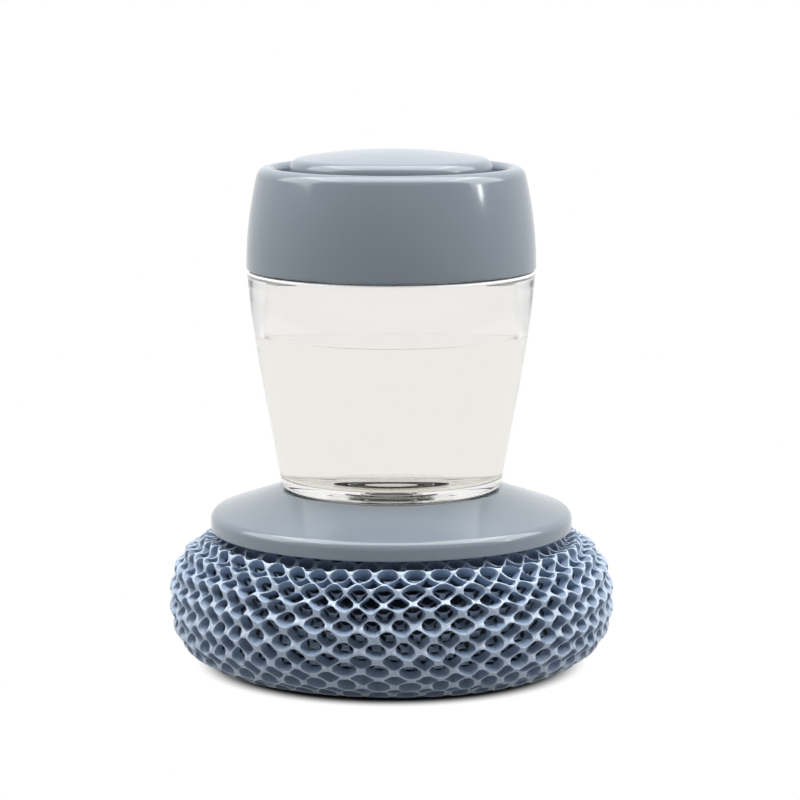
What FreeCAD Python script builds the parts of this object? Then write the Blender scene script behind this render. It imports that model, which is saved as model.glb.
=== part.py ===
import FreeCAD, Part
import bisect
import math
import os

from FreeCAD import Vector

# Palm-held scrubber with a soap tank: a push button pumps air into the clear tank, the soap
# leaves by a slit valve in the tank's floor and soaks the ring of netting below.
# Millimetres, +Z up, origin at the middle of the face that it rests on.

# Clearances that several pieces share
OVERRUN = 1.0  # how far a cutting shape passes the faces that it cuts
FIT = 0.05  # radial play of pressed and running fits
PLAY = 0.2  # play between faces that turn or slide on each other
CLEAR = 0.3  # free gap between curved faces that pass each other

# Netting ring
SCRUB_R = 48.0
SCRUB_H = 29.3
SCRUB_WIDEST_Z = 13.9
SCRUB_BULGE_SHARE = 0.354  # share of the radius by which the side swells past the flat faces
SCRUB_SQUARENESS = 2.4  # exponent of the swelled outline: 2 is an ellipse
SCRUB_FOLDS = 11  # folds of netting down the swelled side
SCRUB_FOLD_DEPTH = 1.9
SCRUB_FADE_SHARE = 0.55  # share of the folds' depth that is lost from top to bottom
SIDE_STEPS = 720  # fine points that the swelled side is measured on
SCRUB_MOUTH_SHARE = 0.563  # edge of the bottom mouth, from the gathered bore to the swelled side
SCRUB_GATHER_H = 13.4  # height at which the mouth has closed to the gathered bore
SCRUB_TOP_DROP = 3.8  # depth of the wide top recess round the hub's flange
SCRUB_TOP_SLOPE = 3.6

# Hub that carries the netting
HUB_TUBE_R = 10.7
HUB_TUBE_WALL = 1.7
HUB_FLANGE_R = 17.6
HUB_FLANGE_T = 1.6
HUB_FOOT_Z = 7.5
HUB_FOOT_R = 14.0
HUB_FOOT_T = 1.8
SOAP_HOLES = 6
SOAP_HOLE_R = 1.2
SOAP_HOLE_CIRCLE_R = 5.2

# Band that ties the netting to the hub
TIE_W = 2.4
TIE_T = 1.4

# Base: cover, closing plate, screws
COVER_R = 38.75
COVER_WALL = 2.0
COVER_SIDE_H = 4.2
COVER_EDGE_R = 3.0
SEAT_R = 24.0  # where the cone of the cover meets the tank's foot
PLATE_T = 1.8
SCREWS = 3
SCREW_R = 1.25
SCREW_HEAD_R = 2.6
SCREW_HEAD_H = 1.6
SCREW_BITE = 2.6  # how far a screw goes into its boss
SCREW_CIRCLE_R = 14.6
BOSS_R = 3.0

# Bayonet between base and tank
SPOUT_R = 6.6
SPOUT_WALL = 2.0
SEAL_GAP = 1.3  # room for the spout's seal between spout and socket
SOCKET_WALL = 1.3  # hub of the cover that shows through the tank's foot
SOCKET_RISE = 0.9
SOCKET_LIP = 1.5
RING_WALL = 1.95
RING_H = 5.4
LEDGE_T = 1.3
SPOUT_LUG_T = 1.4
BAYONETS = 3
BAYONET_LEDGE_DEG = 50.0
BAYONET_LUG_DEG = 38.0

# Tank
TANK_H = 46.7  # foot to shoulder
TANK_FOOT_R = 23.4
TANK_TOP_R = 30.7
TANK_WALL = 1.8  # along the straight flank; it thickens up to the shoulder
TANK_BEND_SHARES = (0.574, 0.497)  # end of the straight flank: share of the spread, of the height
TANK_EDGE_R = 0.5
FOOT_EDGE_R = 1.2
FOOT_RIM_W = 2.2
FOOT_RECESS = 0.6
FLOOR_T = 1.6
FLOOR_CORNER_R = 1.0
NECK_R = 27.7
NECK_WALL = 1.3
NECK_H = 7.8

# Outlet valve and its ring in the tank's floor
VALVE_FLANGE_R = 5.6
VALVE_FLANGE_T = 1.3
VALVE_CUP_R = 4.2
VALVE_CUP_WALL = 0.9
VALVE_CUP_H = 3.0
VALVE_SKIN_T = 0.6
SLIT_L = 4.4
SLIT_W = 0.15
RETAINER_R = 9.2
RETAINER_T = 1.8
SEAL_GROOVE = 0.6
SEAL_DROP = 0.3  # middle of the spout's seal below the tank's seat

# Quarter-turn closure between tank and cap
CLOSURE_LUGS = 4
CLOSURE_LEAD = 10.0  # rise in a full turn
RAMP_OUT = 0.8
RAMP_T = 1.4
RAMP_DEG = 60.0
LUG_DEG = 16.0
LUG_T = 1.4
LUG_RISE = 1.8  # height of the lugs above the cap's lower edge
LUG_ROOT = 0.5  # how deep lugs and ramps root in their walls

# Cap
CAP_H = 21.7
CAP_PROUD = 0.1
CAP_GAP = 0.3
CAP_EDGE_R = 0.4
RIM_R = 26.2  # crest of the rolled rim
ROLL_R = 2.4  # outer roll of the rim
WELL_R = 24.8
CAP_LEDGE_T = 1.6

# Pump insert
GASKET_T = 1.2
FLANGE_T = 1.5
COLLAR_R = 19.0
COLLAR_WALL = 1.6
COLLAR_LIP = 0.4
LOCK_R = 21.0
LOCK_T = 1.2
LOCK_GROOVE = 0.8
LOCK_SPLIT = 4.0
DECK_DROP = 4.7
DECK_T = 1.6
CYLINDER_BORE_R = 7.6
CYLINDER_WALL = 1.4
CYLINDER_DROP = 1.0  # top of the cylinder below the top of the collar
CYLINDER_FLOOR_T = 1.4
PORT_R = 1.2
GLAND_T = 2.0
GLAND_STEP = 0.75
STROKE = 5.0
STOP_GAP = 0.4

# Umbrella air valve in the deck
UMBRELLA_R = 2.8
UMBRELLA_T = 0.8
UMBRELLA_STEM_R = 0.9
UMBRELLA_BULB_R = 1.4
UMBRELLA_BULB_H = 1.6
VENTS = 4
VENT_R = 0.5
VENT_CIRCLE_R = 1.9

# Button, plunger and spring
BUTTON_R = 21.5
BUTTON_WALL = 1.6
BUTTON_SKIRT_H = 3.0
BUTTON_ROOF_T = 3.2
BUTTON_DOME_R = 112.0
BUTTON_EDGE_R = 1.3
STEM_R = 2.6
STEM_SOCKET_WALL = 1.6
STEM_TOP_GAP = 0.2
PISTON_H = 3.6
PISTON_GAP = 0.4
PISTON_LAND = 0.8
PISTON_CORE_R = 5.2
SEAL_LIP = 0.6
WIRE_R = 0.45
SPRING_GAP = 0.75
SPRING_TURNS = 6
SPRING_SEAT = 0.05

# Heights, from the resting face up
PLATE_TOP_Z = SCRUB_H + PLATE_T
RING_TOP_Z = PLATE_TOP_Z + RING_H
SEAT_Z = RING_TOP_Z + SOCKET_LIP
SOCKET_TOP_Z = SEAT_Z + SOCKET_RISE
FOOT_Z = SEAT_Z + PLAY
POCKET_Z = SOCKET_TOP_Z + CLEAR
FLOOR_Z = POCKET_Z + FLOOR_T
SHOULDER_Z = FOOT_Z + TANK_H
NECK_TOP_Z = SHOULDER_Z + NECK_H
FLANGE_Z = NECK_TOP_Z + GASKET_T
FLANGE_TOP_Z = FLANGE_Z + FLANGE_T
CAP_LEDGE_Z = FLANGE_TOP_Z + PLAY
CAP_LEDGE_TOP_Z = CAP_LEDGE_Z + CAP_LEDGE_T
LOCK_Z = CAP_LEDGE_TOP_Z + PLAY
LOCK_TOP_Z = LOCK_Z + LOCK_T
COLLAR_TOP_Z = LOCK_TOP_Z + COLLAR_LIP
BUTTON_Z = COLLAR_TOP_Z + PLAY + STROKE
BUTTON_ROOF_Z = BUTTON_Z + BUTTON_SKIRT_H
CROWN_Z = BUTTON_ROOF_Z + BUTTON_ROOF_T
CYLINDER_TOP_Z = COLLAR_TOP_Z - CYLINDER_DROP
GLAND_Z = CYLINDER_TOP_Z - GLAND_T
PISTON_TOP_Z = GLAND_Z - PLAY
PISTON_Z = PISTON_TOP_Z - PISTON_H
CYLINDER_FLOOR_Z = PISTON_Z - STROKE - STOP_GAP
DECK_Z = FLANGE_Z - DECK_DROP
DECK_TOP_Z = DECK_Z + DECK_T
SEAL_Z = SEAT_Z - SEAL_DROP
VALVE_SEAT_Z = FLOOR_Z - VALVE_FLANGE_T
CAP_Z = SHOULDER_Z + CAP_GAP
CAP_TOP_Z = CAP_Z + CAP_H
LUG_Z = CAP_Z + LUG_RISE

# Radii that follow from the pieces above
SOCKET_BORE_R = SPOUT_R + SEAL_GAP
SOCKET_R = SOCKET_BORE_R + SOCKET_WALL
SEAL_ROOM = SEAL_GAP + SEAL_GROOVE
RING_R = SOCKET_BORE_R + RING_WALL
NECK_BORE_R = NECK_R - NECK_WALL
SKIRT_BORE_R = NECK_R + RAMP_OUT + CLEAR
COLLAR_BORE_R = COLLAR_R - COLLAR_WALL
CYLINDER_R = CYLINDER_BORE_R + CYLINDER_WALL
GLAND_R = CYLINDER_BORE_R + GLAND_STEP
SPRING_R = CYLINDER_R + SPRING_GAP + WIRE_R
UMBRELLA_AT_R = (SPRING_R + WIRE_R + COLLAR_BORE_R) / 2
COVER_BORE_R = COVER_R - COVER_WALL
GATHER_R = HUB_TUBE_R + TIE_T + CLEAR + CLEAR
SCRUB_BULGE = SCRUB_R * SCRUB_BULGE_SHARE

UP = Vector(0, 0, 1)
CENTRE = Vector(0, 0, 0)


def turned(outline):
    """Solid of revolution about Z. A step of the outline is a point (r, z) at the end of a
    straight line, or a pair of points (through, to) for an arc."""
    here = Vector(outline[0][0], 0, outline[0][1])
    edges = []
    for step in outline[1:] + outline[:1]:
        arc = isinstance(step[0], tuple)
        r, z = step[1] if arc else step
        there = Vector(r, 0, z)
        if arc:
            through = Vector(step[0][0], 0, step[0][1])
            edges.append(Part.Arc(here, through, there).toShape())
        elif there.distanceToPoint(here) > 0:
            edges.append(Part.LineSegment(here, there).toShape())
        here = there
    return Part.Face(Part.Wire(edges)).revolve(CENTRE, UP)


def polar(middle, radius, angle):
    """Outline point on a circle about `middle`, at an angle up from the outward direction."""
    return (middle[0] + radius * math.cos(angle), middle[1] + radius * math.sin(angle))


def smooth(before, start, end):
    """Point that an outline's arc from start to end passes through, so that it carries on
    smoothly from the straight line before-start."""
    chord = (end[0] - start[0], end[1] - start[1])
    heading = math.atan2(start[1] - before[1], start[0] - before[0])
    turn = math.atan2(chord[1], chord[0]) - heading
    bulge = math.tan(turn / 2) / 2
    return (
        (start[0] + end[0]) / 2 + chord[1] * bulge, (start[1] + end[1]) / 2 - chord[0] * bulge)


def ring(r_in, r_out, z0, z1):
    return turned([(r_in, z0), (r_out, z0), (r_out, z1), (r_in, z1)])


def peg(r, at_r, z0, z1):
    """Upright cylinder on the X axis, at_r from the middle."""
    return Part.makeCylinder(r, z1 - z0, Vector(at_r, 0, z0))


def around(shape, count):
    """Copies of a shape, evenly spaced about Z."""
    copies = []
    for i in range(count):
        copy = shape.copy()
        copy.rotate(CENTRE, UP, 360.0 * i / count)
        copies.append(copy)
    return copies


def sector(r_in, r_out, z0, z1, degrees):
    """Piece of a ring, centred on the X axis."""
    face = Part.Face(Part.makePolygon([
        Vector(r_in, 0, z0), Vector(r_out, 0, z0), Vector(r_out, 0, z1), Vector(r_in, 0, z1),
        Vector(r_in, 0, z0)]))
    face.rotate(CENTRE, UP, -degrees / 2)
    return face.revolve(CENTRE, UP, degrees)


def ramp(r_in, r_out, z, thick, degrees, middle):
    """Piece of a ring whose flat faces climb at the lead of the closure. It spans `degrees`
    about the angle `middle`, and its lower face passes height z there."""
    half = r_out * math.sin(math.radians(degrees / 2))
    climb = CLOSURE_LEAD / (2 * math.pi * r_out) * half
    near = r_in * math.cos(math.radians(degrees / 2)) - OVERRUN
    far = r_out + OVERRUN
    side = Part.Face(Part.makePolygon([
        Vector(near, -half, z - climb), Vector(near, half, z + climb),
        Vector(near, half, z + climb + thick), Vector(near, -half, z - climb + thick),
        Vector(near, -half, z - climb)]))
    slab = side.extrude(Vector(far - near, 0, 0))
    piece = slab.common(ring(r_in, r_out, z - climb - OVERRUN, z + climb + thick + OVERRUN))
    piece.rotate(CENTRE, UP, middle)
    return piece


def scrub_side():
    """Fine points (r, z) down the netting's swelled side, a superellipse from the edge of the top
    face to the edge of the bottom."""
    power = 2 / SCRUB_SQUARENESS
    points = []
    for i in range(SIDE_STEPS + 1):
        angle = math.pi * (0.5 - i / SIDE_STEPS)
        across = abs(math.cos(angle)) ** power
        high = math.copysign(abs(math.sin(angle)) ** power, angle)
        reach = SCRUB_H - SCRUB_WIDEST_Z if angle > 0 else SCRUB_WIDEST_Z
        points.append((SCRUB_R - SCRUB_BULGE + SCRUB_BULGE * across, SCRUB_WIDEST_Z + reach * high))
    return points


def scrub_folds():
    """Outline of the folds: crests on the swelled side at equal distances, valleys half-way between
    them, and at each quarter an arc's end, half as deep. The folds fade with the square of the share
    of the side."""
    side = scrub_side()
    along = [0.0]
    for a, b in zip(side, side[1:]):
        along.append(along[-1] + math.dist(a, b))
    quarters = []
    for quarter in range(1, 4 * SCRUB_FOLDS):
        share = quarter / (4 * SCRUB_FOLDS)
        i = bisect.bisect(along, share * along[-1])
        (r0, z0), (r1, z1) = side[i - 1], side[i]
        length = math.dist(side[i - 1], side[i])
        depth_share = (0.5 - 0.5 * math.cos(math.pi * quarter / 2)) * (1 - SCRUB_FADE_SHARE * share ** 2)
        depth = SCRUB_FOLD_DEPTH * depth_share
        quarters.append((r0 + (z1 - z0) / length * depth, z0 - (r1 - r0) / length * depth))
    return quarters


def mesh_scrubber():
    """Ring of netting with its folds down the outer side, a mouth below and a recess above. The
    first and last folds leave the flat faces smoothly."""
    recess_r = HUB_FLANGE_R + CLEAR
    recess_z = SCRUB_H - SCRUB_TOP_DROP
    flat_r = SCRUB_R - SCRUB_BULGE
    mouth = (GATHER_R + (flat_r - GATHER_R) * SCRUB_MOUTH_SHARE, 0)
    rim = (recess_r, SCRUB_H)
    top = (flat_r, SCRUB_H)
    bottom = (flat_r, 0)
    folds = scrub_folds()
    arcs = list(zip(folds[1::2], folds[2::2]))
    return turned(
        [rim, top, (smooth(rim, top, folds[0]), folds[0])] + arcs + [
            (smooth(mouth, bottom, folds[-1]), bottom), mouth, (GATHER_R, SCRUB_GATHER_H),
            (GATHER_R, recess_z - SCRUB_TOP_SLOPE), (recess_r, recess_z)])


def scrubber_hub():
    bore_r = HUB_TUBE_R - HUB_TUBE_WALL
    flange_z = SCRUB_H - HUB_FLANGE_T
    floor_z = HUB_FOOT_Z + HUB_FOOT_T
    hub = turned([
        (0, HUB_FOOT_Z), (HUB_FOOT_R, HUB_FOOT_Z), (HUB_FOOT_R, floor_z), (HUB_TUBE_R, floor_z),
        (HUB_TUBE_R, flange_z), (HUB_FLANGE_R, flange_z), (HUB_FLANGE_R, SCRUB_H),
        (bore_r, SCRUB_H), (bore_r, floor_z), (0, floor_z)])
    holes = around(
        peg(SOAP_HOLE_R, SOAP_HOLE_CIRCLE_R, HUB_FOOT_Z - OVERRUN, floor_z + OVERRUN), SOAP_HOLES)
    holes += around(
        peg(SCREW_R + FIT, SCREW_CIRCLE_R, flange_z - OVERRUN, SCRUB_H + OVERRUN), SCREWS)
    return hub.cut(holes)


def scrubber_tie():
    z = HUB_FOOT_Z + HUB_FOOT_T + CLEAR
    return ring(HUB_TUBE_R + CLEAR, HUB_TUBE_R + CLEAR + TIE_T, z, z + TIE_W)


def base_plate():
    plate = ring(HUB_TUBE_R - HUB_TUBE_WALL, COVER_BORE_R - PLAY, SCRUB_H, PLATE_TOP_Z)
    return plate.cut(
        around(peg(SCREW_R + FIT, SCREW_CIRCLE_R, SCRUB_H - OVERRUN, PLATE_TOP_Z + OVERRUN), SCREWS))


def base_screws():
    """Three pan-head screws from below, each its own solid."""
    head_z = SCRUB_H - HUB_FLANGE_T - SCREW_HEAD_H
    tip_z = PLATE_TOP_Z + SCREW_BITE
    screw = turned([
        (0, head_z), (SCREW_HEAD_R, head_z), (SCREW_HEAD_R, head_z + SCREW_HEAD_H),
        (SCREW_R, head_z + SCREW_HEAD_H), (SCREW_R, tip_z - SCREW_R), (0, tip_z)])
    screw.translate(Vector(SCREW_CIRCLE_R, 0, 0))
    return Part.makeCompound(around(screw, SCREWS))


def base_cover():
    """Conical disc with a side wall and a rounded edge, and the socket in its middle."""
    edge = (COVER_R - COVER_EDGE_R, SCRUB_H + COVER_SIDE_H - COVER_EDGE_R)
    run = edge[0] - SEAT_R
    rise = SEAT_Z - edge[1]
    lean = math.atan2(rise, run) - math.asin(COVER_EDGE_R / math.hypot(run, rise))
    turn = math.pi / 2 - lean
    roof_z = SEAT_Z - COVER_WALL
    socket_low_r = RING_R + FIT + SOCKET_WALL
    cover = turned([
        (COVER_R, SCRUB_H), (COVER_R, edge[1]),
        (polar(edge, COVER_EDGE_R, turn / 2), polar(edge, COVER_EDGE_R, turn)), (SEAT_R, SEAT_Z),
        (SOCKET_R, SEAT_Z), (SOCKET_R, SOCKET_TOP_Z), (SOCKET_BORE_R, SOCKET_TOP_Z),
        (SOCKET_BORE_R, RING_TOP_Z), (RING_R + FIT, RING_TOP_Z), (RING_R + FIT, PLATE_TOP_Z),
        (socket_low_r, PLATE_TOP_Z), (socket_low_r, roof_z), (SEAT_R, roof_z),
        (COVER_BORE_R, PLATE_TOP_Z + PLAY), (COVER_BORE_R, SCRUB_H)])
    bosses = around(peg(BOSS_R, SCREW_CIRCLE_R, PLATE_TOP_Z, SEAT_Z - COVER_WALL / 2), SCREWS)
    tip_z = PLATE_TOP_Z + SCREW_BITE
    pilots = around(peg(SCREW_R + FIT, SCREW_CIRCLE_R, PLATE_TOP_Z - OVERRUN, tip_z + PLAY), SCREWS)
    return cover.fuse(bosses).cut(pilots).removeSplitter()


def bayonet_ring():
    """Ring in the socket; its ledges hold the spout's lugs down."""
    body = ring(SOCKET_BORE_R, RING_R, PLATE_TOP_Z, RING_TOP_Z)
    ledge = sector(
        SPOUT_R + CLEAR, SOCKET_BORE_R + RING_WALL / 2, RING_TOP_Z - LEDGE_T, RING_TOP_Z,
        BAYONET_LEDGE_DEG)
    return body.fuse(around(ledge, BAYONETS)).removeSplitter()


def tank_flank(inset, top):
    """Side of the tank: its foot moved in by `inset`, the end of the straight flank, and a point on
    the curve that carries on from it to `top`."""
    foot = (TANK_FOOT_R - inset, FOOT_Z)
    bend = (
        foot[0] + (TANK_TOP_R - TANK_FOOT_R) * TANK_BEND_SHARES[0], FOOT_Z + TANK_H * TANK_BEND_SHARES[1])
    return foot, bend, smooth(foot, bend, top)


def tank():
    """Clear tank: floor with a hole for the spout, rounded foot, tapered wall that thickens to the
    shoulder, neck with the closure's ramps."""
    top = (TANK_TOP_R, SHOULDER_Z - TANK_EDGE_R)
    mouth = (NECK_BORE_R, SHOULDER_Z)
    foot, bend, swell = tank_flank(0, top)
    in_foot, in_bend, in_swell = tank_flank(TANK_WALL, mouth)
    flank = (bend[0] - foot[0]) / (bend[1] - foot[1])
    lean = math.atan(flank)
    edge = (foot[0] + FOOT_EDGE_R * (flank - math.hypot(1, flank)), FOOT_Z + FOOT_EDGE_R)
    corner_z = FLOOR_Z + FLOOR_CORNER_R
    corner = (in_foot[0] + flank * (corner_z - FOOT_Z) - FLOOR_CORNER_R, corner_z)
    recess_z = FOOT_Z + FOOT_RECESS
    rim_r = TANK_FOOT_R - FOOT_RIM_W
    body = turned([
        (SPOUT_R + FIT, POCKET_Z), (SOCKET_R + PLAY, POCKET_Z), (SOCKET_R + PLAY, recess_z),
        (rim_r, recess_z), (rim_r, FOOT_Z), (edge[0], FOOT_Z),
        (polar(edge, FOOT_EDGE_R, -(math.pi / 2 + lean) / 2), polar(edge, FOOT_EDGE_R, -lean)),
        bend, (swell, top), (top[0] - TANK_EDGE_R, SHOULDER_Z), (NECK_R, SHOULDER_Z),
        (NECK_R, NECK_TOP_Z), (NECK_BORE_R, NECK_TOP_Z), mouth, (in_swell, in_bend),
        polar(corner, FLOOR_CORNER_R, 0),
        (polar(corner, FLOOR_CORNER_R, -math.pi / 4), polar(corner, FLOOR_CORNER_R, -math.pi / 2)),
        (SPOUT_R + FIT, FLOOR_Z)])
    middle = (RAMP_DEG - LUG_DEG) / 2
    ramp_z = LUG_Z + LUG_T + PLAY + CLOSURE_LEAD * middle / 360.0
    climb = ramp(NECK_R - LUG_ROOT, NECK_R + RAMP_OUT, ramp_z, RAMP_T, RAMP_DEG, middle)
    return body.fuse(around(climb, CLOSURE_LUGS)).removeSplitter()


def spout():
    """Tube bonded into the tank's floor: seat for the valve, groove for the seal, bayonet lugs."""
    low_z = RING_TOP_Z - LEDGE_T - PLAY - SPOUT_LUG_T
    bore_r = SPOUT_R - SPOUT_WALL
    seat_r = VALVE_FLANGE_R + FIT
    groove_r = SPOUT_R - SEAL_GROOVE
    groove_z = SEAL_Z - SEAL_ROOM / 2
    groove_top_z = SEAL_Z + SEAL_ROOM / 2
    tube = turned([
        (bore_r, low_z), (SPOUT_R, low_z), (SPOUT_R, groove_z), (groove_r, groove_z),
        (groove_r, groove_top_z), (SPOUT_R, groove_top_z), (SPOUT_R, FLOOR_Z), (seat_r, FLOOR_Z),
        (seat_r, VALVE_SEAT_Z), (bore_r, VALVE_SEAT_Z)])
    lug = sector(
        SPOUT_R - LUG_ROOT, SOCKET_BORE_R - CLEAR, low_z, low_z + SPOUT_LUG_T, BAYONET_LUG_DEG)
    return tube.fuse(around(lug, BAYONETS)).removeSplitter()


def spout_seal():
    """O-ring in the spout's groove, running in the socket."""
    return Part.makeTorus(SOCKET_BORE_R - SEAL_ROOM / 2, SEAL_ROOM / 2 - FIT, Vector(0, 0, SEAL_Z))


def outlet_valve():
    """Flanged silicone cup with a crossed slit in its thin floor."""
    cup_z = VALVE_SEAT_Z - VALVE_CUP_H
    bore_r = VALVE_CUP_R - VALVE_CUP_WALL
    valve = turned([
        (0, cup_z), (VALVE_CUP_R, cup_z), (VALVE_CUP_R, VALVE_SEAT_Z),
        (VALVE_FLANGE_R, VALVE_SEAT_Z), (VALVE_FLANGE_R, FLOOR_Z), (bore_r, FLOOR_Z),
        (bore_r, cup_z + VALVE_SKIN_T), (0, cup_z + VALVE_SKIN_T)])
    slit = Part.makeBox(
        SLIT_L, SLIT_W, VALVE_SKIN_T + 2 * OVERRUN, Vector(-SLIT_L / 2, -SLIT_W / 2, cup_z - OVERRUN))
    cross = slit.copy()
    cross.rotate(CENTRE, UP, 90)
    return valve.cut([slit, cross])


def valve_retainer():
    """Ring on the tank's floor that clamps the valve's flange, sloped in like a funnel."""
    return turned([
        (VALVE_CUP_R, FLOOR_Z), (RETAINER_R, FLOOR_Z), (RETAINER_R, FLOOR_Z + RETAINER_T / 2),
        (RETAINER_R - RETAINER_T / 2, FLOOR_Z + RETAINER_T),
        (VALVE_CUP_R + RETAINER_T, FLOOR_Z + RETAINER_T), (VALVE_CUP_R, FLOOR_Z + RETAINER_T / 2)])


def cap_shell():
    """Barrel cap: rolled rim, button well, ledge over the pump's flange, lugs in the skirt. The
    barrel is one arc, upright at its lower edge, that runs smoothly into the rim's roll."""
    foot = (TANK_TOP_R + CAP_PROUD, CAP_Z + CAP_EDGE_R)
    roll = (RIM_R, CAP_TOP_Z - ROLL_R)
    draw_in = foot[0] - RIM_R
    height = roll[1] - foot[1]
    barrel_r = (height ** 2 + draw_in ** 2 - ROLL_R ** 2) / (2 * (draw_in - ROLL_R))
    barrel = (foot[0] - barrel_r, foot[1])
    lean = math.atan2(height, roll[0] - barrel[0])
    lip = (RIM_R, CAP_TOP_Z - RIM_R + WELL_R)
    lip_r = RIM_R - WELL_R
    inner_r = COLLAR_R + CLEAR
    shell = turned([
        (SKIRT_BORE_R, CAP_Z), (foot[0] - CAP_EDGE_R, CAP_Z), foot,
        (polar(barrel, barrel_r, lean / 2), polar(barrel, barrel_r, lean)),
        (polar(roll, ROLL_R, (lean + math.pi / 2) / 2), (RIM_R, CAP_TOP_Z)),
        (polar(lip, lip_r, math.pi * 3 / 4), polar(lip, lip_r, math.pi)),
        (WELL_R, CAP_LEDGE_TOP_Z), (inner_r, CAP_LEDGE_TOP_Z), (inner_r, CAP_LEDGE_Z),
        (SKIRT_BORE_R, CAP_LEDGE_Z)])
    lug = ramp(NECK_R + CLEAR, SKIRT_BORE_R + LUG_ROOT, LUG_Z, LUG_T, LUG_DEG, 0)
    return shell.fuse(around(lug, CLOSURE_LUGS)).removeSplitter()


def cap_gasket():
    return ring(NECK_BORE_R, NECK_R - PLAY, NECK_TOP_Z, FLANGE_Z)


def pump_body():
    """Insert that closes the tank's mouth: flange, collar, deck and pump cylinder."""
    groove_r = COLLAR_R - LOCK_GROOVE
    cylinder_z = CYLINDER_FLOOR_Z - CYLINDER_FLOOR_T
    body = turned([
        (PORT_R, cylinder_z), (CYLINDER_R, cylinder_z), (CYLINDER_R, DECK_Z), (COLLAR_R, DECK_Z),
        (COLLAR_R, FLANGE_Z), (NECK_R - PLAY, FLANGE_Z), (NECK_R - PLAY, FLANGE_TOP_Z),
        (COLLAR_R, FLANGE_TOP_Z), (COLLAR_R, LOCK_Z), (groove_r, LOCK_Z), (groove_r, LOCK_TOP_Z),
        (COLLAR_R, LOCK_TOP_Z), (COLLAR_R, COLLAR_TOP_Z), (COLLAR_BORE_R, COLLAR_TOP_Z),
        (COLLAR_BORE_R, DECK_TOP_Z), (CYLINDER_R, DECK_TOP_Z), (CYLINDER_R, CYLINDER_TOP_Z),
        (GLAND_R + FIT, CYLINDER_TOP_Z), (GLAND_R + FIT, GLAND_Z), (CYLINDER_BORE_R, GLAND_Z),
        (CYLINDER_BORE_R, CYLINDER_FLOOR_Z), (PORT_R, CYLINDER_FLOOR_Z)])
    low = DECK_Z - OVERRUN
    high = DECK_TOP_Z + OVERRUN
    vents = around(peg(VENT_R, VENT_CIRCLE_R, low, high), VENTS)
    for vent in vents:
        vent.translate(Vector(UMBRELLA_AT_R, 0, 0))
    return body.cut(vents + [peg(UMBRELLA_STEM_R + FIT, UMBRELLA_AT_R, low, high)])


def air_valve():
    """Umbrella valve: disc under the deck, stem through it, bulb above."""
    bulb_z = DECK_TOP_Z + UMBRELLA_BULB_H
    valve = turned([
        (0, DECK_Z - UMBRELLA_T), (UMBRELLA_R / 2, DECK_Z - UMBRELLA_T),
        (UMBRELLA_R, DECK_Z - UMBRELLA_T / 2), (UMBRELLA_R, DECK_Z), (UMBRELLA_STEM_R, DECK_Z),
        (UMBRELLA_STEM_R, DECK_TOP_Z), (UMBRELLA_BULB_R, DECK_TOP_Z),
        (UMBRELLA_STEM_R, bulb_z), (0, bulb_z)])
    valve.translate(Vector(UMBRELLA_AT_R, 0, 0))
    return valve


def gland_ring():
    return ring(STEM_R + CLEAR, GLAND_R, GLAND_Z, CYLINDER_TOP_Z)


def lock_ring():
    """Split ring in the collar's groove, over the cap's ledge."""
    whole = ring(COLLAR_R - LOCK_GROOVE + FIT, LOCK_R, LOCK_Z, LOCK_TOP_Z)
    split = Part.makeBox(
        LOCK_R + OVERRUN, LOCK_SPLIT, LOCK_T + 2 * OVERRUN, Vector(0, -LOCK_SPLIT / 2, LOCK_Z - OVERRUN))
    return whole.cut(split)


def push_button():
    """Domed button with a rounded edge, a short skirt and a socket for the stem."""
    dome = (0, CROWN_Z - BUTTON_DOME_R)
    edge_run = BUTTON_DOME_R - BUTTON_EDGE_R
    tilt = math.acos((BUTTON_R - BUTTON_EDGE_R) / edge_run)
    edge = polar(dome, edge_run, tilt)
    skirt_r = BUTTON_R - BUTTON_WALL
    boss_z = CYLINDER_TOP_Z + PLAY + STROKE
    boss_r = STEM_R + FIT + STEM_SOCKET_WALL
    socket_z = BUTTON_ROOF_Z + STEM_TOP_GAP
    return turned([
        (0, CROWN_Z),
        (polar(dome, BUTTON_DOME_R, (tilt + math.pi / 2) / 2), polar(dome, BUTTON_DOME_R, tilt)),
        (polar(edge, BUTTON_EDGE_R, tilt / 2), (BUTTON_R, edge[1])),
        (BUTTON_R, BUTTON_Z), (skirt_r, BUTTON_Z), (skirt_r, BUTTON_ROOF_Z), (boss_r, BUTTON_ROOF_Z),
        (boss_r, boss_z), (STEM_R + FIT, boss_z), (STEM_R + FIT, socket_z), (0, socket_z)])


def plunger():
    """Stem and piston, with a groove for the cup seal."""
    piston_r = CYLINDER_BORE_R - PISTON_GAP
    groove_z = PISTON_Z + PISTON_LAND
    groove_top_z = PISTON_TOP_Z - PISTON_LAND
    return turned([
        (0, PISTON_Z), (piston_r, PISTON_Z), (piston_r, groove_z), (PISTON_CORE_R, groove_z),
        (PISTON_CORE_R, groove_top_z), (piston_r, groove_top_z), (piston_r, PISTON_TOP_Z),
        (STEM_R, PISTON_TOP_Z), (STEM_R, BUTTON_ROOF_Z), (0, BUTTON_ROOF_Z)])


def piston_seal():
    """Cup seal: a flat ring with a thin lip that hangs down to the cylinder's wall."""
    z = PISTON_Z + PISTON_LAND
    top_z = PISTON_TOP_Z - PISTON_LAND
    r_in = PISTON_CORE_R + FIT
    r_out = CYLINDER_BORE_R - FIT
    web_z = top_z - SEAL_LIP
    return turned([
        (r_in, z), (r_in + SEAL_LIP, z), (r_in + SEAL_LIP, web_z), (r_out - SEAL_LIP, web_z),
        (r_out - SEAL_LIP, z), (r_out, z), (r_out, top_z), (r_in, top_z)])


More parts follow.
